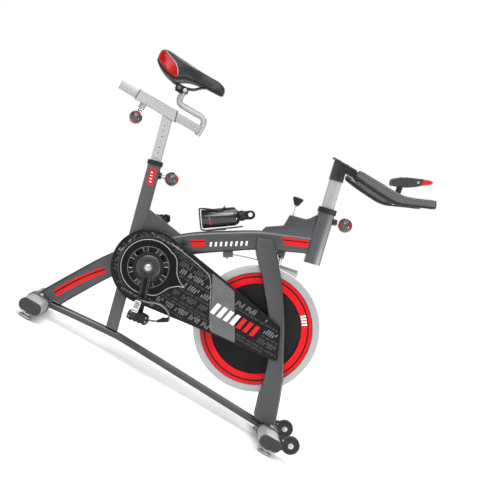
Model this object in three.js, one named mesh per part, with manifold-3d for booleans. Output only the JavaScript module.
// Indoor spin bike, millimetres, +X forward, +Y to the rider's left, +Z up.
// Drawn about the crank centre (x = 0) and shifted by SHIFT_X so that the origin lies on the floor under the middle.
import * as THREE from "three";
import { mergeVertices } from "three/addons/utils/BufferGeometryUtils.js";
import Module from "manifold-3d";

const wasm = await Module();
wasm.setup();

// ---- driving dimensions ----
const SHIFT_X = -180.09; // drawing x of the crank axis to the part's origin
const CRANK = { x: 0, z: 350, length: 170, angle: 19 }; // angle forward of straight down
const WHEEL = { x: 446, z: 347, r: 227.5, rimR: 202, bandR: 163 };
const STAB = { rearX: -279, frontX: 666, z: 45, w: 80, h: 42, half: 242, capHalf: 250 };
const FOOT = { y: 214, r: 24, padH: 10, studR: 6 };
const ROLLER = { x: 741, z: 63.3, y: 165, r: 33, w: 24, bore: 5.4 };
const HEAD = { x: 474, z: 643, tilt: 13.5, length: 195, depth: 58, half: 25 };
const SEAT = { x: -150, z: 620, tilt: 14.8, depth: 48, half: 23, post: 37, postHalf: 18 };
const BEAM_HALF = 25;
const LEG = { in: 26, out: 48 }; // distance of the fork legs' faces from the middle plane
const GUARD = { out: -78, back: -52, plate: [-51.6, -48.6], r: 134 };
const PULLEY = { big: 100, small: 32, y0: -71, y1: -57 };
const BAR_Y = 155;
const GAP = 0.3;

// ---- colours ----
const mat = (hex, roughness, metalness = 0) => new THREE.MeshStandardMaterial({ color: hex, roughness, metalness });
const M = {
  frame: mat(0x58595c, 0.45, 0.2), silver: mat(0xcdced0, 0.4, 0.6), black: mat(0x1a1a1b, 0.4), rubber: mat(0x3c3c3e, 0.8),
  red: mat(0xdc1c10, 0.35), steel: mat(0xc4c6c9, 0.25, 0.9), plastic: mat(0x3f4042, 0.5), leather: mat(0x2d2d2f, 0.6),
  grip: mat(0x4a4b4d, 0.7), cap: mat(0x55565a, 0.6), disc: mat(0x2a2a2c, 0.3, 0.3), felt: mat(0x8a8478, 0.95),
};

// ---- helpers: geometry to solid and back ----
const V3 = (x, y, z) => new THREE.Vector3(x, y, z);
function solid(geometry) {
  let g = geometry.clone();
  for (const a of Object.keys(g.attributes)) if (a !== "position") g.deleteAttribute(a);
  g = mergeVertices(g, 1e-4);
  const p = g.attributes.position, idx = g.index.array;
  const build = (flip) => {
    const t = new Uint32Array(idx.length);
    for (let i = 0; i < idx.length; i += 3) { t[i] = idx[i]; t[i + 1] = idx[flip ? i + 2 : i + 1]; t[i + 2] = idx[flip ? i + 1 : i + 2]; }
    return new wasm.Manifold(new wasm.Mesh({ numProp: 3, vertProperties: new Float32Array(p.array), triVerts: t }));
  };
  const m = build(false);
  return m.volume() < 0 ? build(true) : m;
}
const add = (...s) => s.reduce((a, b) => a.add(b));
const cut = (a, ...s) => s.reduce((m, b) => m.subtract(b), a);
const both = (a, b) => a.intersect(b);
function toGeometry(m) {
  const g = m.getMesh(), out = new THREE.BufferGeometry();
  const n = g.numProp, v = new Float32Array((g.vertProperties.length / n) * 3);
  for (let i = 0; i < v.length / 3; i++) { v[3 * i] = g.vertProperties[n * i]; v[3 * i + 1] = g.vertProperties[n * i + 1]; v[3 * i + 2] = g.vertProperties[n * i + 2]; }
  out.setAttribute("position", new THREE.BufferAttribute(v, 3));
  out.setIndex(new THREE.BufferAttribute(new Uint32Array(g.triVerts), 1));
  out.computeVertexNormals();
  return out;
}
const root = new THREE.Group();
const bike = new THREE.Group();
bike.position.set(SHIFT_X, 0, 0);
root.add(bike);
function node(name, shape, material) {
  const mesh = new THREE.Mesh(toGeometry(shape), material);
  mesh.name = name;
  bike.add(mesh);
  return mesh;
}

// plate in the XZ plane from outline [x, z], between y0 and y1, edges bevelled by bev
function plate(outline, y0, y1, bev = 0, holes = []) {
  const s = new THREE.Shape(outline.map(([x, z]) => new THREE.Vector2(x, z)));
  for (const h of holes) s.holes.push(new THREE.Path(h.map(([x, z]) => new THREE.Vector2(x, z))));
  const depth = Math.abs(y1 - y0) - 2 * bev;
  const g = new THREE.ExtrudeGeometry(s, { depth, bevelEnabled: bev > 0, bevelThickness: bev, bevelSize: bev, bevelOffset: -bev, bevelSegments: 1, curveSegments: 8 });
  g.rotateX(Math.PI / 2);
  g.translate(0, Math.max(y0, y1) - bev, 0);
  return solid(g);
}
// any box, centre and sizes, turned by deg about Y (positive lifts the +X end)
function box(cx, cy, cz, sx, sy, sz, deg = 0) {
  const g = new THREE.BoxGeometry(sx, sy, sz);
  g.rotateY(-THREE.MathUtils.degToRad(deg));
  g.translate(cx, cy, cz);
  return solid(g);
}
// cylinder between two points
function rod(a, b, r, seg = 16, r2 = r) {
  const d = new THREE.Vector3().subVectors(b, a), g = new THREE.CylinderGeometry(r2, r, d.length(), seg <= 8 ? seg : Math.max(8, Math.round(seg * 0.75)));
  g.translate(0, d.length() / 2, 0);
  g.applyQuaternion(new THREE.Quaternion().setFromUnitVectors(V3(0, 1, 0), d.clone().normalize()));
  g.translate(a.x, a.y, a.z);
  return solid(g);
}
const yrod = (x, z, y0, y1, r, seg = 24) => rod(V3(x, Math.min(y0, y1), z), V3(x, Math.max(y0, y1), z), r, seg);
// turned shape: profile [radius, height along axis], from point a along direction d
function lathe(profile, a, d, seg = 32) {
  const g = new THREE.LatheGeometry(profile.map(([r, h]) => new THREE.Vector2(r, h)), Math.max(10, Math.round(seg * 0.72)));
  g.applyQuaternion(new THREE.Quaternion().setFromUnitVectors(V3(0, 1, 0), d.clone().normalize()));
  g.translate(a.x, a.y, a.z);
  return solid(g);
}
function roundRect(w, h, r, n = 3) {
  const p = [];
  for (const [sx, sy, a0] of [[1, 1, 0], [-1, 1, 90], [-1, -1, 180], [1, -1, 270]])
    for (let i = 0; i <= n; i++) {
      const a = THREE.MathUtils.degToRad(a0 + (90 * i) / n);
      p.push([sx * (w / 2 - r) + r * Math.cos(a), sy * (h / 2 - r) + r * Math.sin(a)]);
    }
  return p;
}
// skin through rings of equal point count, closed with flat ends
function loft(rings) {
  const n = rings[0].length, pos = [], idx = [];
  rings.forEach((r) => r.forEach((p) => pos.push(p.x, p.y, p.z)));
  for (let i = 0; i < rings.length - 1; i++)
    for (let j = 0; j < n; j++) {
      const a = i * n + j, b = i * n + ((j + 1) % n), c = a + n, d = b + n;
      idx.push(a, b, d, a, d, c);
    }
  for (const [k, flip] of [[0, true], [rings.length - 1, false]]) {
    const c = rings[k].reduce((s, p) => s.add(p), V3(0, 0, 0)).divideScalar(n);
    pos.push(c.x, c.y, c.z);
    const ci = pos.length / 3 - 1;
    for (let j = 0; j < n; j++) {
      const a = k * n + j, b = k * n + ((j + 1) % n);
      flip ? idx.push(ci, b, a) : idx.push(ci, a, b);
    }
  }
  const g = new THREE.BufferGeometry();
  g.setAttribute("position", new THREE.BufferAttribute(new Float32Array(pos), 3));
  g.setIndex(idx);
  return solid(g);
}
// tube along a curve in a plane y = const; stations [x, z, height], width w, section made by sec(w, h)
function planarRings(stations, y, w, grow, sec, steps) {
  const c = new THREE.CatmullRomCurve3(stations.map(([x, z]) => V3(x, 0, z)), false, "centripetal");
  const hs = new THREE.CatmullRomCurve3(stations.map(([, , h], i) => V3(i, 0, h)), false, "centripetal");
  const rings = [];
  for (let i = 0; i <= steps; i++) {
    const t = i / steps, p = c.getPoint(t), d = c.getTangent(t), n = V3(-d.z, 0, d.x), h = hs.getPoint(t).z;
    rings.push(sec(w + 2 * grow, h + 2 * grow).map(([u, v]) => V3(p.x + n.x * v, y + u, p.z + n.z * v)));
  }
  return rings;
}
// round bar through points
function wire(points, r, steps, seg = 8, closed = false, tension = 0.5) {
  const c = new THREE.CatmullRomCurve3(points.map((p) => V3(...p)), closed, "centripetal", tension);
  const s = new THREE.Shape();
  s.absarc(0, 0, r, 0, 2 * Math.PI);
  const g = new THREE.ExtrudeGeometry(s, { extrudePath: c, steps, curveSegments: Math.ceil(seg / 2), bevelEnabled: false });
  return solid(g);
}
// frame of a leaning tube: s along it (up), d across it (forward)
function leaning(x0, z0, deg) {
  const t = THREE.MathUtils.degToRad(deg), a = V3(-Math.sin(t), 0, Math.cos(t)), b = V3(Math.cos(t), 0, Math.sin(t));
  return {
    a, b,
    at: (s, d = 0, y = 0) => V3(x0 + a.x * s + b.x * d, y, z0 + a.z * s + b.z * d),
    // prism of outline [y, d] between s0 and s1
    prism(outline, s0, s1) {
      return loft([s0, s1].map((s) => outline.map(([y, d]) => this.at(s, d, y))));
    },
  };
}
const shift = (outline, k) => { // offset a convex outline [u, v] outwards by k
  const n = outline.length, c = outline.reduce((s, p) => [s[0] + p[0] / n, s[1] + p[1] / n], [0, 0]);
  return outline.map((p, i) => {
    const q = outline[(i + n - 1) % n], r = outline[(i + 1) % n];
    const e = (a, b) => { const l = Math.hypot(b[0] - a[0], b[1] - a[1]); let m = [(b[1] - a[1]) / l, -(b[0] - a[0]) / l];
      const mid = [(a[0] + b[0]) / 2 - c[0], (a[1] + b[1]) / 2 - c[1]]; return m[0] * mid[0] + m[1] * mid[1] < 0 ? [-m[0], -m[1]] : m; };
    const m1 = e(q, p), m2 = e(p, r), k2 = k / (1 + m1[0] * m2[0] + m1[1] * m2[1]);
    return [p[0] + (m1[0] + m2[0]) * k2, p[1] + (m1[1] + m2[1]) * k2];
  });
};
const arc = (cx, cz, r, a0, a1, n) => Array.from({ length: n + 1 }, (_, i) => {
  const a = THREE.MathUtils.degToRad(a0 + ((a1 - a0) * i) / n);
  return [cx + r * Math.cos(a), cz + r * Math.sin(a)];
});
const BIG = 2000;
const below = (z) => box(0, 0, z - BIG / 2, BIG, BIG, BIG);
const above = (z) => box(0, 0, z + BIG / 2, BIG, BIG, BIG);

// ================= frame =================
const head = leaning(HEAD.x, HEAD.z, HEAD.tilt);
const seat = leaning(SEAT.x, SEAT.z, SEAT.tilt);
const HEAD_OUT = [[-22, 0], [22, 0], [25, 3], [25, 30], [11, 56], [8, 58], [-8, 58], [-11, 56], [-25, 30], [-25, 3]];
const POST_OUT = [[-17, 5.5], [17, 5.5], [19, 7.5], [19, 30], [8.5, 48.5], [6.5, 50], [-6.5, 50], [-8.5, 48.5], [-19, 30], [-19, 7.5]];

// push rod line of the brake: parallel to the head tube
const brake = leaning(401, 588, HEAD.tilt);

// main beam: one bent tube from the rear foot to the head tube
const BEAM = [[-276, 24, 80], [-249, 75, 80], [-201, 158, 79], [-127, 277, 79], [-62, 357, 79], [20, 437, 79], [100, 503, 79], [203, 571.5, 74], [287, 624, 70], [393, 673, 65], [466, 705, 62], [520, 729, 62]];
const beamSec = (w, h) => roundRect(w, h, Math.min(11, w / 2 - 1), 1);
const beamInSec = (w, h) => roundRect(w, h, 9, 1);
const beamSolid = (grow) => loft(planarRings(BEAM, 0, 2 * BEAM_HALF, grow, beamSec, 16));
const beamHollow = loft(planarRings([[-300, -22, 80], ...BEAM.slice(1, -1), [560, 745, 62]], 0, 2 * BEAM_HALF, -3, beamInSec, 10));
const headSolid = (k, s0 = -400, s1 = 400) => head.prism(shift(HEAD_OUT, k), s0, s1);
const frontOfHead = plate([[HEAD.x + head.a.x * -200 - GAP, HEAD.z + head.a.z * -200], [HEAD.x + head.a.x * 400 - GAP, HEAD.z + head.a.z * 400], [1200, 1100], [1200, 300]], -60, 60);
let beam = cut(beamSolid(0), below(74), frontOfHead);
beam = cut(beam, beamHollow);
// bottom bracket shell, welded under the beam
beam = add(beam, yrod(CRANK.x, CRANK.z, -34, 34, 27, 28));
beam = cut(beam, yrod(CRANK.x, CRANK.z, -40, 40, 13.2, 24));
// guide of the brake rod: boss under the beam, bore through both walls
beam = add(beam, cut(rod(brake.at(24), brake.at(58), 11, 18), rod(brake.at(20), brake.at(70), 5, 12)));
beam = cut(beam, rod(brake.at(10), brake.at(150), 4.6, 14));
// clamp of the brake leaf under the beam
beam = add(beam, box(222, 0, 531, 36, 26, 27, 31));
beam = cut(beam, box(240, 0, 536.5, 28, 25, 4.4, 20));
beam = cut(beam, box(242, 0, 536.5, 10, 40, 3.4, 20));
node("main_beam", beam, M.frame);

// head tube
const headTube = cut(headSolid(0, 0, HEAD.length), headSolid(-3, -10, HEAD.length + 10));
const headNut = cut(rod(head.at(166, 57), head.at(166, 74), 10.5, 6), rod(head.at(166, 40), head.at(166, 80), 5.4, 12));
node("head_tube", cut(add(headTube, headNut), rod(head.at(166, 40), head.at(166, 80), 5.4, 12)), M.frame);

// collar bush on the head tube
node("head_tube_collar", cut(head.prism(shift(HEAD_OUT, 4), 188, 207.5), head.prism(shift(HEAD_OUT, GAP), 180, HEAD.length + GAP), head.prism(shift(POST_OUT, 0.4), 150, 250)), M.black);

// seat tube with its gusset to the beam
const seatOut = roundRect(2 * SEAT.half, SEAT.depth, 6, 2), seatIn = roundRect(2 * SEAT.half - 6, SEAT.depth - 6, 4, 1);
const SEAT_TOP = 66;
let gusset = cut(plate([[-122, 531], [38, 506.5], [62, 500], [-40, 380], [-84, 372]], -21, 21), plate([[-122, 527.5], [36, 503], [58, 490], [-50, 374], [-104, 380]], -18, 18));
let seatTube = add(seat.prism(seatOut, -270, SEAT_TOP), cut(gusset, seat.prism(seatIn, -280, 80)));
seatTube = cut(seatTube, seat.prism(seatIn, -290, SEAT_TOP + 20));
seatTube = cut(seatTube, beamSolid(GAP));
seatTube = add(seatTube, rod(seat.at(23.4, 23), seat.at(23.4, 34), 11.5, 6));
seatTube = cut(seatTube, rod(seat.at(23.4, 10), seat.at(23.4, 40), 5.4, 12));
node("seat_tube", seatTube, M.frame);
const seatPostOut = roundRect(2 * SEAT.postHalf, SEAT.post, 4, 2);
node("seat_tube_collar", cut(seat.prism(shift(seatOut, 3.5), 55, 72), seat.prism(shift(seatOut, GAP), 40, SEAT_TOP + GAP), seat.prism(shift(seatPostOut, 0.4), 0, 100)), M.black);

// lower strut from the beam to the base tube
const strut = leaning(-21, 150, 14.7);
const strutOut = roundRect(40, 44, 6, 2), strutIn = roundRect(34, 38, 4, 1);
const BASE = [[-241, 54.4], [-235, 55], [20, 75.4], [50, 75.4], [600, 54.6], [628, 53.6]];
const baseTop = [[-300, 65.8], [-240, 70.2], [22, 90.3], [48, 90.3], [640, 68.2], [640, -50], [-300, -50]].map(([x, z]) => [x, z]);
let lower = cut(strut.prism(strutOut, -90, 215), strut.prism(strutIn, -100, 230));
lower = cut(lower, beamSolid(GAP), plate(baseTop, -60, 60));
const strutParts = lower.decompose().sort((a, b) => b.volume() - a.volume());
node("lower_strut", strutParts[0], M.frame);

// fork legs: two bent tubes that straddle the flywheel
const K = 0.9893;
const fix = ([x, z]) => [62.1 + (x - 62.1) * K, 645.7 + (z - 645.7) * K];
const LEG_REAR = [[286, 635], [303, 594], [358, 534], [393, 492], [459, 409], [505, 335], [540, 271], [571, 167], [601, 72], [607, 52]].map(fix);
const LEG_FRONT = [[341, 655], [364, 632], [400, 591], [448, 531], [497, 461], [540, 391], [572, 331], [622, 240], [655, 158], [682, 78], [688, 58]].map(fix);
const edge = (pts) => new THREE.CatmullRomCurve3(pts.map(([x, z]) => V3(x, 0, z)), false, "centripetal");
function legRings(y, grow, sec, steps = 11) {
  const a = edge(LEG_REAR), b = edge(LEG_FRONT), rings = [];
  for (let i = 0; i <= steps; i++) {
    const p = a.getPointAt(i / steps), q = b.getPointAt(i / steps), c = p.clone().add(q).multiplyScalar(0.5), n = q.clone().sub(p), w = n.length();
    n.normalize();
    rings.push(sec(LEG.out - LEG.in + 2 * grow, w + 2 * grow).map(([u, v]) => V3(c.x + n.x * v, y + u, c.z + n.z * v)));
  }
  return rings;
}
const legSec = (w, h) => roundRect(w, h, 7, 1), legIn = (w, h) => roundRect(w, h, 4, 1);
function leg(side) {
  const y = (side * (LEG.in + LEG.out)) / 2;
  const outer = loft(legRings(y, 0, legSec));
  const inner = cut(loft(legRings(y, -2.5, legIn)), above(600));
  const innerTail = loft([...legRings(y, -2.5, legIn).slice(-1), legRings(y, -2.5, legIn).slice(-1)[0].map((p) => V3(p.x + 12, p.y, p.z - 40))]);
  let l = cut(outer, inner, innerTail);
  l = cut(l, below(70.8));
  // dropout plate that carries the flywheel axle
  const d = plate([...arc(WHEEL.x, WHEEL.z, 27, 62, 298, 9), [492, 306], [516, 300], [508, 322], [494, 350], [478, 378]], y - 4, y + 4);
  l = add(l, cut(d, inner));
  return cut(l, yrod(WHEEL.x, WHEEL.z, y - 30, y + 30, 10.4, 20));
}
node("fork_leg_right", leg(-1), M.frame);
node("fork_leg_left", leg(1), M.frame);

// stabilizers: flat oval tubes on the floor, saddles of the base tube sit on them
const oval = (k, w = STAB.w, h = STAB.h, n = 5) => { const r = h / 2 + k, s = w / 2 - h / 2; return [...arc(s, 0, r, -90, 90, n), ...arc(-s, 0, r, 90, 270, n)]; };
const ovalAt = (cx, k, n = 5) => oval(k, STAB.w, STAB.h, n).map(([x, z]) => [x + cx, z + STAB.z]);
const saddle = (cx, half, y0z) => cut(plate(ovalAt(cx, 4), -half, half), plate(ovalAt(cx, GAP), -half - 5, half + 5), below(y0z));
const baseRings0 = (r, pts) => pts.map(([x, z]) => arc(0, 0, r, 0, 330, 11).map(([u, v]) => V3(x, u, z + v)));
let base = loft(baseRings0(14, BASE));
base = cut(base, loft(baseRings0(11.2, [[-330, 45], ...BASE.slice(1, -1)])));
base = cut(base, plate(ovalAt(STAB.rearX, 3), -60, 60), plate(ovalAt(STAB.frontX, 3), -80, 80));
base = add(base, saddle(STAB.rearX, 46, 30), saddle(STAB.frontX, 62, 26), box(-262, 0, 71.2, 44, 44, 5));
base = cut(base, plate(ovalAt(STAB.rearX, GAP), -80, 80), plate(ovalAt(STAB.frontX, GAP), -80, 80));
node("base_tube", base, M.frame);

const footHole = (cx, y) => rod(V3(cx, y, 10), V3(cx, y, 40), FOOT.studR + 0.4, 12);
function stabilizer(cx) {
  const o = plate(ovalAt(cx, 0), -STAB.half, STAB.half), i = plate(ovalAt(cx, -2.5), -STAB.half - 5, STAB.half + 5);
  return cut(o, i, footHole(cx, FOOT.y), footHole(cx, -FOOT.y));
}
node("rear_stabilizer", stabilizer(STAB.rearX), M.silver);
let front = stabilizer(STAB.frontX);
for (const s of [-1, 1]) {
  const y = s * ROLLER.y;
  for (const o of [-15.6, 15.6]) front = add(front, plate([[697, 62], [701, 28], [712, 30], ...arc(ROLLER.x, ROLLER.z, 14, -70, 110, 5), [712, 78], [692, 71]], y + o - 2, y + o + 2));
  front = add(front, yrod(ROLLER.x, ROLLER.z, y - 20, y + 20, 5, 14), yrod(ROLLER.x, ROLLER.z, y - 22, y - 17, 8.5, 6), yrod(ROLLER.x, ROLLER.z, y + 17, y + 22, 8.5, 6));
}
front = cut(front, plate(ovalAt(STAB.frontX, -2.5), -STAB.half - 5, STAB.half + 5));
node("front_stabilizer", front, M.silver);
for (const [end, cx] of [["rear", STAB.rearX], ["front", STAB.frontX]])
  for (const [side, s] of [["right", -1], ["left", 1]]) {
    const cap = plate(ovalAt(cx, 0.8), s * (STAB.half + GAP), s * STAB.capHalf, 1.2);
    node("end_cap_" + end + "_" + side, add(cap, plate(ovalAt(cx, -2.9), s * (STAB.half - 12), s * (STAB.half + 3))), M.cap);
    node("levelling_foot_" + end + "_" + side, lathe([[0, 0], [FOOT.r - 3, 0], [FOOT.r, 2.5], [FOOT.r, 7], [FOOT.r - 4, FOOT.padH], [10, FOOT.padH], [10, 17], [FOOT.studR, 17], [FOOT.studR, 34], [0, 34]], V3(cx, s * FOOT.y, 0), V3(0, 0, 1), 17), M.rubber);
  }
for (const [side, s] of [["right", -1], ["left", 1]])
  node("transport_wheel_" + side, lathe([[ROLLER.bore, -12], [15, -12], [17, -8], [25, -8], [27, -12], [ROLLER.r - 2, -12], [ROLLER.r, -9], [ROLLER.r, 9], [ROLLER.r - 2, 12], [27, 12], [25, 8], [17, 8], [15, 12], [ROLLER.bore, 12], [ROLLER.bore, -12]], V3(ROLLER.x, s * ROLLER.y, ROLLER.z), V3(0, 1, 0), 20), M.rubber);

// ================= belt guard and drive =================
const guardOutline = (k) => [
  ...arc(CRANK.x, CRANK.z + 1, GUARD.r + k, 80, 277, 18), [248 + k * 0.1, 248 - k], [500 + k * 0.1, 276 - k], [555 + k, 284 - k], [562 + k, 291 - k * 0.5],
  [561 + k, 300], [520 + k, 387], [512 + k, 397 + k * 0.6], [502, 401 + k], [248 + k * 0.1, 447 + k],
];
let guard = cut(plate(guardOutline(0), GUARD.out, GUARD.back, 4), plate(guardOutline(-3), GUARD.out + 3, GUARD.back + 6));
guard = cut(guard, yrod(CRANK.x, CRANK.z, GUARD.out - 10, GUARD.out + 10, 76, 30));
node("belt_guard", guard, M.black);
let back = plate(guardOutline(-0.5), ...GUARD.plate);
back = cut(back, yrod(CRANK.x, CRANK.z, -60, -40, 30, 28), yrod(WHEEL.x, WHEEL.z, -60, -40, 13, 20));
for (const [x, z] of [[-75, 342], [62, 470]]) back = add(back, yrod(x, z, -50, -25.4, 11, 14));
node("guard_backplate", back, M.plastic);

// belt round both pulleys
function beltLoop(k) {
  const d = WHEEL.x - CRANK.x, a = THREE.MathUtils.radToDeg(Math.acos((PULLEY.big - PULLEY.small) / d));
  return [...arc(CRANK.x, CRANK.z, PULLEY.big + k, a, 360 - a, 28), ...arc(WHEEL.x, WHEEL.z, PULLEY.small + k, -a, a, 12)];
}
node("drive_belt", plate(beltLoop(2.6), PULLEY.y0 + 1.5, PULLEY.y1 - 1.5, 0, [beltLoop(GAP)]), M.black);
const yUp = V3(0, 1, 0);
const pulleyWidth = PULLEY.y1 - PULLEY.y0;
node("drive_pulley", cut(lathe([[12.9, 0], [24, 0], [24, 5], [88, 5], [88, 0], [PULLEY.big, 0], [PULLEY.big, pulleyWidth], [88, pulleyWidth], [88, 9], [24, 9], [24, pulleyWidth + 8], [12.9, pulleyWidth + 8], [12.9, 0]], V3(CRANK.x, PULLEY.y0, CRANK.z), yUp, 30), ...[0, 72, 144, 216, 288].map((a) => { const [p] = arc(CRANK.x, CRANK.z, 56, a, a, 1); return yrod(p[0], p[1], -72, -50, 20, 6); })), M.plastic);
node("flywheel_axle", cut(add(
  lathe([[0, -74], [PULLEY.small - 2, -74], [PULLEY.small - 2, PULLEY.y0 - 0.3], [PULLEY.small, PULLEY.y0 - 0.3], [PULLEY.small, PULLEY.y1], [PULLEY.small - 2, PULLEY.y1], [14, PULLEY.y1], [10, -55.5], [10, 56], [0, 56]].map(([r, h]) => [r, h]), V3(WHEEL.x, 0, WHEEL.z), yUp, 32),
  yrod(WHEEL.x, WHEEL.z, 49.5, 55, 15, 6))), M.steel);
const fw = [[10.5, -20], [40, -20], [43, -4], [WHEEL.bandR - 3, -4], [WHEEL.bandR, -9], [WHEEL.rimR, -9], [WHEEL.rimR, -15], [WHEEL.r, -14],
  [WHEEL.r, 14], [WHEEL.rimR, 15], [WHEEL.rimR, 9], [WHEEL.bandR, 9], [WHEEL.bandR - 3, 4], [43, 4], [40, 20], [10.5, 20], [10.5, -20]];
node("flywheel", lathe(fw, V3(WHEEL.x, 0, WHEEL.z), yUp, 56), M.steel);

// crank: spindle, slotted disc, arms with pedal axles
node("crank_spindle", add(yrod(CRANK.x, CRANK.z, -104, 104, 12.5, 20), yrod(CRANK.x, CRANK.z, 34.4, 40, 20, 24), yrod(CRANK.x, CRANK.z, -40, -34.4, 20, 24)), M.steel);
const slots = Array.from({ length: 8 }, (_, i) => { const a = 45 * i; return [...arc(CRANK.x, CRANK.z, 69, a, a + 27, 2), ...arc(CRANK.x, CRANK.z, 55, a + 27, a, 2)]; });
let disc = plate(arc(CRANK.x, CRANK.z, 73, 0, 345, 23), -80, -76.6, 0, slots);
disc = cut(disc, yrod(CRANK.x, CRANK.z, -90, -70, 20, 16));
disc = add(disc, lathe([[12.9, -83], [38, -83], [43, -80], [43, -74], [28, -72], [12.9, -72], [12.9, -83]], V3(CRANK.x, 0, CRANK.z), yUp, 30));
for (const [x, z] of [[-10, 30], [30, -6], [-19, -23]]) disc = add(disc, yrod(x, CRANK.z + z, -85.5, -80, 6, 8));
node("crank_disc", disc, M.disc);
const th = THREE.MathUtils.degToRad(CRANK.angle);
const PED = { R: [CRANK.x + CRANK.length * Math.sin(th), CRANK.z - CRANK.length * Math.cos(th)], L: [CRANK.x - CRANK.length * Math.sin(th), CRANK.z + CRANK.length * Math.cos(th)] };
function crankArm(side, [px, pz]) {
  const dx = (px - CRANK.x) / CRANK.length, dz = (pz - CRANK.z) / CRANK.length, a0 = THREE.MathUtils.radToDeg(Math.atan2(dz, dx));
  const outline = [...arc(CRANK.x, CRANK.z, 17, a0 + 90, a0 + 270, 7), ...arc(px, pz, 12.5, a0 - 90, a0 + 90, 7)];
  let s = plate(outline, side * 89, side * 102, 2);
  s = add(s, yrod(CRANK.x, CRANK.z, side * 86.4, side * 104, 20, 24));
  s = cut(s, yrod(CRANK.x, CRANK.z, side * 80, side * 104.3, 12.8, 20));
  s = add(s, yrod(CRANK.x, CRANK.z, side * 104.6, side * 101.5, 12, 20)).decompose().sort((p, q) => q.volume() - p.volume())[0];
  return add(s, yrod(px, pz, side * 100, side * 108, 9, 12), yrod(px, pz, side * 107, side * 194, 6.5, 14));
}
node("crank_arm_right", crankArm(-1, PED.R), M.disc);
node("crank_arm_left", crankArm(1, PED.L), M.disc);

// pedals: barrel, side plates and two serrated cage plates, drawn about the pedal axle, for the right foot
function turned(shape, deg, at, mirrorY) {
  let m = shape.rotate([0, -deg, 0]);
  if (mirrorY) m = m.mirror([0, 1, 0]);
  return m.translate([at[0], 0, at[1]]);
}
function pedalBody() {
  const teeth = [];
  for (let i = 0; i < 5; i++) teeth.push([34 - i * 16, -15], [26 - i * 16, -19]);
  const side = [[37, 4], [33, 12], [20, 15], [-22, 15], [-35, 11], [-38, 0], [-36, -15], ...teeth.slice(0, -1).reverse().filter(([x]) => x > -34), [38, -12]];
  let p = add(plate(side, -117, -111.4), plate(side, -195, -189.4));
  p = add(p, box(35, -153.2, -1, 4, 83.6, 24), box(-35, -153.2, -2, 4, 83.6, 22), yrod(0, 0, -195, -111.4, 13, 18), box(0, -153.2, 0, 68, 26, 9));
  return cut(p, yrod(0, 0, -190.2, -100, 7, 14), yrod(0, 0, -194.4, -185, 7, 14));
}
function toeClip() {
  const mid = [[38.4, 0], [70, 8], [100, 22], [105, 27], [98, 45], [84, 58], [64, 66], [40, 66], [12, 58], [-16, 56]];
  const c = new THREE.CatmullRomCurve3(mid.map(([x, z]) => V3(x, 0, z)), false, "centripetal"), rings = [];
  for (let i = 0; i <= 18; i++) {
    const t = i / 18, p = c.getPoint(t), d = c.getTangent(t), n = V3(-d.z, 0, d.x), w = 15 + 9 * Math.sin(Math.PI * Math.min(1, t * 1.15));
    rings.push([[w, 1.4], [-w, 1.4], [-w, -1.4], [w, -1.4]].map(([u, v]) => V3(p.x + n.x * v, -153 + u, p.z + n.z * v)));
  }
  return add(loft(rings), box(39.2, -153, -5, 1.6, 26, 12));
}
function toeStrap() {
  const path = [[-110, -8], [-109.6, 20], [-110.5, 42], [-120, 58], [-138, 63.5], [-153, 64.5], [-168, 63.5], [-186, 58], [-196, 42], [-197, 20], [-196.4, -8]];
  const c = new THREE.CatmullRomCurve3(path.map(([y, z]) => V3(0, y, z)), false, "centripetal"), rings = [];
  for (let i = 0; i <= 16; i++) {
    const p = c.getPoint(i / 16), d = c.getTangent(i / 16), n = V3(0, -d.z, d.y);
    rings.push([[8.4, 0.9], [-8.4, 0.9], [-8.4, -0.9], [8.4, -0.9]].map(([u, v]) => V3(-18 + u, p.y + n.y * v, p.z + n.z * v)));
  }
  return add(loft(rings), box(-18, -199.4, 34, 21, 4.6, 40));
}
for (const [side, at, deg, flip] of [["right", PED.R, 8, false], ["left", PED.L, -150, true]]) {
  node("pedal_" + side, turned(pedalBody(), deg, at, flip), M.plastic);
  node("toe_clip_" + side, turned(toeClip(), deg, at, flip), M.steel);
  node("toe_strap_" + side, turned(toeStrap(), deg, at, flip), M.leather);
}

// ================= resistance brake =================
let cover = plate([[289, 650], [288, 668], [294, 684], [320, 701], [346.5, 719], [347, 763], [404, 778.5], [417, 790], [431, 812], [470, 700]], -20, 20, 3);
cover = cut(cover, plate([[280, 640], [292, 666], [297, 681], [322, 697], [350, 715], [350.5, 760], [403, 774], [420, 786], [428, 800], [475, 690]], -17, 17));
cover = cut(cover, beamSolid(GAP), headSolid(GAP), frontOfHead, rod(brake.at(60), brake.at(230), 4.6, 14));
cover = cut(cover, plate([[280, 640], [466, 716], [520, 640]], -40, 40));
cover = cover.decompose().sort((a, b) => b.volume() - a.volume())[0];
node("brake_cover", cover, M.frame);
node("brake_rod", add(rod(brake.at(0.2), brake.at(226), 3.6, 14), rod(brake.at(0.2), brake.at(4.2), 9, 18), rod(brake.at(187), brake.at(191), 7, 14)), M.steel);
node("resistance_knob", cut(lathe([[0, 31], [14, 30], [18, 28], [19.5, 25], [19, 21], [7.5, 0], [0, 0]], brake.at(221.5), brake.a, 28), rod(brake.at(200), brake.at(226.4), 4, 14)), M.black);
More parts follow.
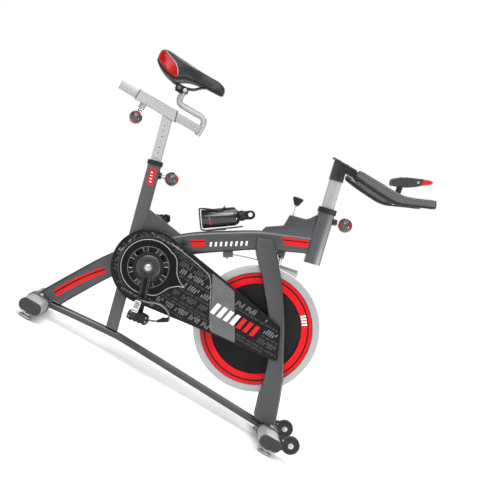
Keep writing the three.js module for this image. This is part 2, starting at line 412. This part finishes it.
// leaf with the pad carrier at its end
const LEAF = [[231, 533.4], [246, 538.6], [280, 550.5], [317, 562], [362, 573.5], [398, 581.5], [412, 584.5], [470, 596.5]];
const leafRings = (() => {
  const c = new THREE.CatmullRomCurve3(LEAF.map(([x, z]) => V3(x, 0, z)), false, "centripetal"), rings = [];
  for (let i = 0; i <= 18; i++) { const t = i / 18, p = c.getPoint(t), d = c.getTangent(t), n = V3(-d.z, 0, d.x), w = t < 0.08 ? 9 : 11; rings.push([[w, 1.3], [-w, 1.3], [-w, -1.3], [w, -1.3]].map(([u, v]) => V3(p.x + n.x * v, u, p.z + n.z * v))); }
  return rings;
})();
node("brake_arm", add(loft(leafRings), plate([[408, 581.6], [471, 594.6], [473, 599], [471, 602], [410, 589.4], [407, 586]], -14, 14)), M.steel);
node("brake_pad", cut(plate([[413, 570], [478, 570], [478, 595.4], [470, 594], [413, 582.2]], -13, 13), yrod(WHEEL.x, WHEEL.z - 1.5, -20, 20, WHEEL.r + 5.6, 96), plate([[400, 579.6], [480, 596.2], [480, 640], [400, 640]], -20, 20)), M.felt);

// ================= handlebar =================
const postHoles = (frame, s0, n, pitch, d0, d1, r) => Array.from({ length: n }, (_, i) => rod(frame.at(s0 + i * pitch, d0), frame.at(s0 + i * pitch, d1), r, 6));
const STEM_TOP = 1015;
let hPost = cut(head.prism(POST_OUT, 60, 420), head.prism(shift(POST_OUT, -2.5), 50, 410), above(STEM_TOP - 0.5));
hPost = cut(hPost, ...postHoles(head, 166, 6, 18, 42, 60, 5));
node("handlebar_post", hPost, M.silver);
const bars = wire([[488, -BAR_Y, 1001], [520, -BAR_Y, 996], [570, -BAR_Y, 993.5], [615, -BAR_Y, 992.5], [640, -BAR_Y, 995], [662, -BAR_Y, 1001.5], [690, -BAR_Y, 1013], [720, -BAR_Y, 1026], [748, -BAR_Y, 1038.5]], 11, 12, 8);
const crossRear = (k) => yrod(488, 1001.5, -BAR_Y - 1, BAR_Y + 1, 13 + k, 20), crossFront = (k) => yrod(650, 998, -BAR_Y, BAR_Y, 10 + k, 16);
const barFrame = add(bars, bars.mirror([0, 1, 0]), crossRear(0), crossFront(0));
node("handlebar_tube", barFrame, M.black);
let stem = cut(head.prism(shift(POST_OUT, 3.2), 310, 430), above(STEM_TOP + 1));
stem = add(stem, box(426.5, 0, 1018, 97, 50, 6), box(453, 0, 1003.5, 52, 34, 25), yrod(488, 1001.5, -30, 30, 17.5, 22));
stem = cut(stem, both(head.prism(shift(POST_OUT, 0.4), 290, 430), below(STEM_TOP)), crossRear(GAP));
node("handlebar_stem", stem, M.black);
const GRIP = [[466.5, 999, 14, 20], [468, 998.8, 26, 32], [474, 998.4, 33.5, 40], [490, 997.5, 37.5, 44], [525, 995.2, 40.5, 46], [570, 993.2, 43, 47], [612, 992.2, 43.5, 46], [638, 994.6, 41, 42], [660, 1000.6, 36, 37], [685, 1010.6, 33, 33.5], [720, 1025.8, 32, 32], [752, 1039.8, 32, 32], [758, 1042.4, 28, 28], [760.5, 1043.5, 18, 18]];
function grip(side) {
  const y = side * BAR_Y, rings = GRIP.map(([x, z, h, w], i) => {
    const a = GRIP[Math.max(0, i - 1)], b = GRIP[Math.min(GRIP.length - 1, i + 1)], l = Math.hypot(b[0] - a[0], b[1] - a[1]), n = [-(b[1] - a[1]) / l, (b[0] - a[0]) / l];
    return roundRect(w, h, Math.min(w, h) * 0.42, 2).map(([u, v]) => V3(x + n[0] * v, y + u, z + n[1] * v));
  });
  const tube = wire([[488, y, 1001], [520, y, 996], [570, y, 993.5], [615, y, 992.5], [640, y, 995], [662, y, 1001.5], [690, y, 1013], [720, y, 1026], [748, y, 1038.5]], 11.7, 10, 7);
  const ends = [rod(V3(746, y, 1037.6), V3(750, y, 1039.4), 11.4, 10)];
  return cut(loft(rings), tube, crossRear(GAP), crossFront(GAP), ...ends, rod(V3(484, y, 1001), V3(492, y, 1001), 11.5, 10));
}
node("grip_right", grip(-1), M.grip);
node("grip_left", grip(1), M.grip);
// console on its stub, clamped to the front cross tube
const CONSOLE = [[605, 1041], [601, 1052], [601, 1059], [606, 1066], [622, 1078], [650, 1092.5], [690, 1110], [716, 1119.5], [729, 1121], [731, 1116], [726, 1108], [706, 1093], [690, 1078], [670, 1063.5], [650, 1053], [625, 1043.5], [611, 1037.5]];
let consoleBody = plate(CONSOLE, -43, 43, 1.5);
consoleBody = add(consoleBody, loft([[638, 1056, 19], [641, 1042, 19], [649, 1004, 19]].map(([x, z, w]) => roundRect(26, w, 5, 2).map(([u, v]) => V3(x + v, u, z + v * 0.25)))), yrod(650, 998, -13, 13, 14.5, 20));
consoleBody = cut(consoleBody, crossFront(GAP), rod(V3(627.8, 0, 1074.6), V3(616, 0, 1100), 7.9, 16));
node("console", consoleBody, M.black);
node("console_button", both(rod(V3(626.6, 0, 1077.2), V3(618.5, 0, 1094.7), 7, 16), plate([[600, 1060], [622, 1079.6], [650, 1094.6], [650, 1060], [630, 1050]], -10, 10)), M.cap);

// ================= seat =================
const SLEEVE = { x0: -341, z: 863, h: 38, w: 48 }, TUBE = { x0: -413, x1: -88, h: 30, w: 40 };
let sleeve = plate([[SLEEVE.x0, 844], [-179, 844], [-190, 882], [SLEEVE.x0, 882]], -SLEEVE.w / 2, SLEEVE.w / 2, 1.5);
let sPost = cut(seat.prism(seatPostOut, -70, 240), above(852));
sPost = add(sPost, sleeve, rod(V3(-308.5, 0, 825), V3(-308.5, 0, 846), 12, 16));
sPost = cut(sPost, box((SLEEVE.x0 - 180) / 2, 0, SLEEVE.z, 260, TUBE.w + 0.8, TUBE.h + 0.8), both(seat.prism(shift(seatPostOut, -2.5), -90, 240), below(843)), rod(V3(-308.5, 0, 800), V3(-308.5, 0, 860), 5.4, 12));
sPost = cut(sPost, ...postHoles(seat, 23.4, 8, 21, 14, 24, 4.5));
node("seat_post", sPost, M.silver);
let slider = box((TUBE.x0 + TUBE.x1) / 2, 0, SLEEVE.z, TUBE.x1 - TUBE.x0, TUBE.w, TUBE.h);
slider = cut(slider, box(TUBE.x0 + 130, 0, SLEEVE.z, 300, TUBE.w - 5, TUBE.h - 5));
slider = cut(slider, ...Array.from({ length: 5 }, (_, i) => rod(V3(-348.5 + 20 * i, 0, 840), V3(-348.5 + 20 * i, 0, 853), 4.5, 8)));
slider = add(slider, wire([[-86, 0, 843.6], [-86, 0, 860], [-86, 0, 878], [-88, 0, 893], [-94, 0, 903], [-106, 0, 908], [-125, 0, 908], [-165, 0, 908], [-188, 0, 909], [-200, 0, 915], [-205.5, 0, 927], [-206, 0, 940], [-206, 0, 957]], 11, 19, 10));
node("seat_slider", slider, M.silver);
// saddle clamp: straddles the post top, carries the rails
const RAIL = [[-266, -38, 975], [-260, -34, 967.5], [-248, -26, 965], [-228, -22, 966.5], [-200, -22, 969.5], [-178, -20, 978], [-160, -16, 994], [-146, -12, 1003], [-136, -5, 1005.5]];
const railPath = [...RAIL, ...RAIL.slice().reverse().map(([x, y, z]) => [x, -y, z])];
let clamp = add(box(-216, 0, 960, 46, 58, 20), box(-221, 0, 949, 30, 30, 12), yrod(-196.5, 957, -24, 24, 6, 6));
clamp = cut(clamp, box(-207, 0, 950, 33, 23.6, 26), wire(railPath, 4.1, 30, 6));
clamp = clamp.decompose().sort((a, b) => b.volume() - a.volume())[0];
node("saddle_clamp", clamp, M.black);
const SADDLE = [ // x, half width, top, edge
  [-348, 34, 1034, 1014], [-345, 54, 1044, 1008], [-338, 72, 1051, 1003], [-325, 87, 1054, 994], [-305, 97, 1053, 984], [-280, 100, 1051.5, 975.5], [-255, 94, 1050.5, 973.5], [-240, 86, 1050, 979.5], [-225, 76, 1049.5, 989],
  [-200, 58, 1048, 999], [-170, 42, 1047, 1004], [-140, 34, 1047, 1008], [-110, 29.5, 1047.2, 1009.5], [-92, 26, 1045, 1010.5], [-80, 20, 1037, 1010.5], [-72, 12, 1022, 1011]];
const saddleRings = SADDLE.map(([x, w, t, e]) => {
  const h = t - e, k = 14 * Math.min(1, w / 90);
  return [[0, t], [0.35, t - 0.02 * h], [0.62, t - 0.09 * h], [0.84, t - 0.26 * h], [0.96, t - 0.5 * h], [1, t - 0.75 * h], [0.97, e + 1], [0.86, e], [0.5, e + k * 0.8], [0, e + k]]
    .flatMap(([u, z], i, arr) => [[u * w, z]]).concat([[0.5, e + k * 0.8], [0.86, e], [0.97, e + 1], [1, t - 0.75 * h], [0.96, t - 0.5 * h], [0.84, t - 0.26 * h], [0.62, t - 0.09 * h], [0.35, t - 0.02 * h]].map(([u, z]) => [-u * w, z]))
    .map(([y, z]) => V3(x, y, z));
});
node("saddle", loft(saddleRings), M.leather);
const baseRings = SADDLE.slice(2, 15).map(([x, w, t, e]) => {
  const k = 14 * Math.min(1, w / 90), f = 0.82, lo = 3.4;
  const up = [[f, e + 0.6 + k * 0.05], [0.5, e + k * 0.8], [0, e + k]].map(([u, z]) => [u * w, z - 0.9]);
  const pts = [...up, ...up.slice(0, 2).reverse().map(([y, z]) => [-y, z])];
  const down = pts.slice().reverse().map(([y, z]) => [y * 0.97, z - lo]);
  return [...pts, ...down].map(([y, z]) => V3(x, y, z));
});
node("saddle_base", loft(baseRings), M.black);
let rails = wire(railPath, 3.5, 32, 6);
rails = cut(rails, loft(baseRings.map((r) => { const n = r.length / 2; return r.map((p, i) => V3(p.x, p.y * 1.02, p.z + (i < n ? 8 : -0.4))); })));
rails = rails.decompose().sort((a, b) => b.volume() - a.volume())[0];
node("saddle_rails", rails, M.steel);

// pop-pin knobs: ball, shank and pin in one, pulled outwards along the pin
const ball = (r) => [[0, -r * 0.93], [r * 0.5, -r * 0.9], [r * 0.78, -r * 0.7], [r * 0.95, -r * 0.4], [r, 0], [r * 0.95, r * 0.4], [r * 0.78, r * 0.7], [r * 0.5, r * 0.9], [0, r * 0.93]];
node("head_knob", add(lathe(ball(25), head.at(166, 105.6), head.b, 20), rod(head.at(166, 50.6), head.at(166, 100), 4.9, 12), rod(head.at(166, 77), head.at(166, 86), 8.5, 14)), M.plastic);
node("seat_knob", add(lathe(ball(24), seat.at(23.4, 71.8), seat.b, 20), rod(seat.at(23.4, 19), seat.at(23.4, 70), 4.9, 12), rod(seat.at(23.4, 37), seat.at(23.4, 50), 6.5, 14)), M.plastic);
node("slider_knob", add(lathe(ball(24), V3(-308.5, 0, 789), V3(0, 0, 1), 20), rod(V3(-308.5, 0, 790), V3(-308.5, 0, 847.4), 4.9, 12), rod(V3(-308.5, 0, 808), V3(-308.5, 0, 822), 7, 14)), M.plastic);

// ================= bottle =================
const bot = { x: 78, z: 590, a: 35 };
const bt = THREE.MathUtils.degToRad(bot.a), be = V3(Math.cos(bt), 0, Math.sin(bt)), bn = V3(-Math.sin(bt), 0, Math.cos(bt));
const bAt = (d, y, n) => V3(bot.x + be.x * d + bn.x * n, y, bot.z + be.z * d + bn.z * n);
let bottle = lathe([[0, 0], [31, 0], [34, 3], [34, 118], [32, 126], [26, 134], [19, 139], [19, 152], [16, 156], [0, 156]], bAt(0, 0, 0), be, 28);
const loop = [[150, -15], [182, -17], [192, -10], [195, 0], [192, 10], [182, 17], [150, 15]].map(([d, n]) => { const p = bAt(d, 0, n); return [p.x, p.z]; });
bottle = add(bottle, plate(loop, -8, 8));
const hole = bAt(177, 0, 1);
bottle = cut(bottle, yrod(hole.x, hole.z, -20, 20, 8, 16));
node("bottle", bottle, M.black);
const P = (d, y, n) => bAt(d, y, n).toArray();
const w1 = wire([P(-4.5, 0, 37.6), P(-4.5, -8, 37.6), P(6, -12, 38), P(30, -19, 34), P(62, -28.5, 27), P(76, -27, 29), P(86, -15, 36), P(88, 0, 39), P(86, 15, 36), P(76, 27, 29), P(62, 28.5, 27), P(30, 19, 34), P(6, 12, 38), P(-4.5, 8, 37.6)], 2.6, 26, 5, true);
const w2 = wire([P(-5, -9, 39), P(-5.2, -13, 10), P(-5.2, -13, -20), P(-3, -14, -36), P(8, -14, -40.5), P(60, -14, -40.5), P(110, -14, -40), P(128, -14, -39.5), P(141, -9, -39), P(145, 0, -38.5), P(141, 9, -39), P(128, 14, -39.5), P(110, 14, -40), P(60, 14, -40.5), P(8, 14, -40.5), P(-3, 14, -36), P(-5.2, 13, -20), P(-5.2, 13, 10), P(-5, 9, 39)], 2.6, 28, 5);
const beamTop = beamSolid(GAP);
let cage = add(w1, w2, box(bAt(50, 0, -43.5).x, 0, bAt(50, 0, -43.5).z, 70, 34, 5, 33));
cage = cut(cage, beamTop, lathe([[0, -1], [34.5, -1], [34.5, 118], [19.5, 140], [0, 140]], bAt(0, 0, 0), be, 28));
cage = cage.decompose().sort((a, b) => b.volume() - a.volume())[0];
node("bottle_cage", cage, M.steel);

export default root;
